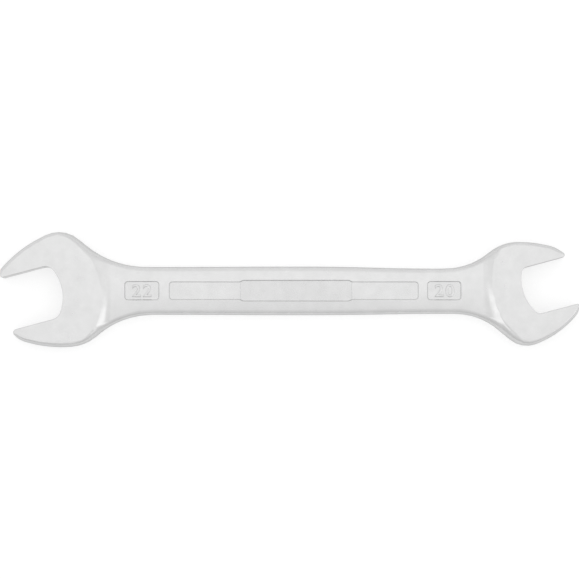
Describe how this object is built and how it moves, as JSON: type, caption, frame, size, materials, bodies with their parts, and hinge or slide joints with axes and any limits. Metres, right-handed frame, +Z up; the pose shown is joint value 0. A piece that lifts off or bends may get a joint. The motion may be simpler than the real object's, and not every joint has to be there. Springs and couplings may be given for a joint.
{
  "type": "open end wrench",
  "caption": "Double open end wrench forged in one piece, with a slanted open jaw at each end and a recessed oval shank.",
  "frame": {"origin": "middle of the wrench's outline, on the surface that it lies on", "axes": "+X along the shank towards the 20 mm jaw, +Y across the shank towards the 22 mm head's long jaw, +Z up through the thickness"},
  "size_m": [0.2414, 0.048, 0.0085],
  "materials": {
    "satin_chrome": "satin chrome plate over forged chrome vanadium steel, fine matte grain, brighter on the broached jaw faces"
  },
  "bodies": {
    "root": {"wrench_body": "satin_chrome"}
  },
  "joints": []
}
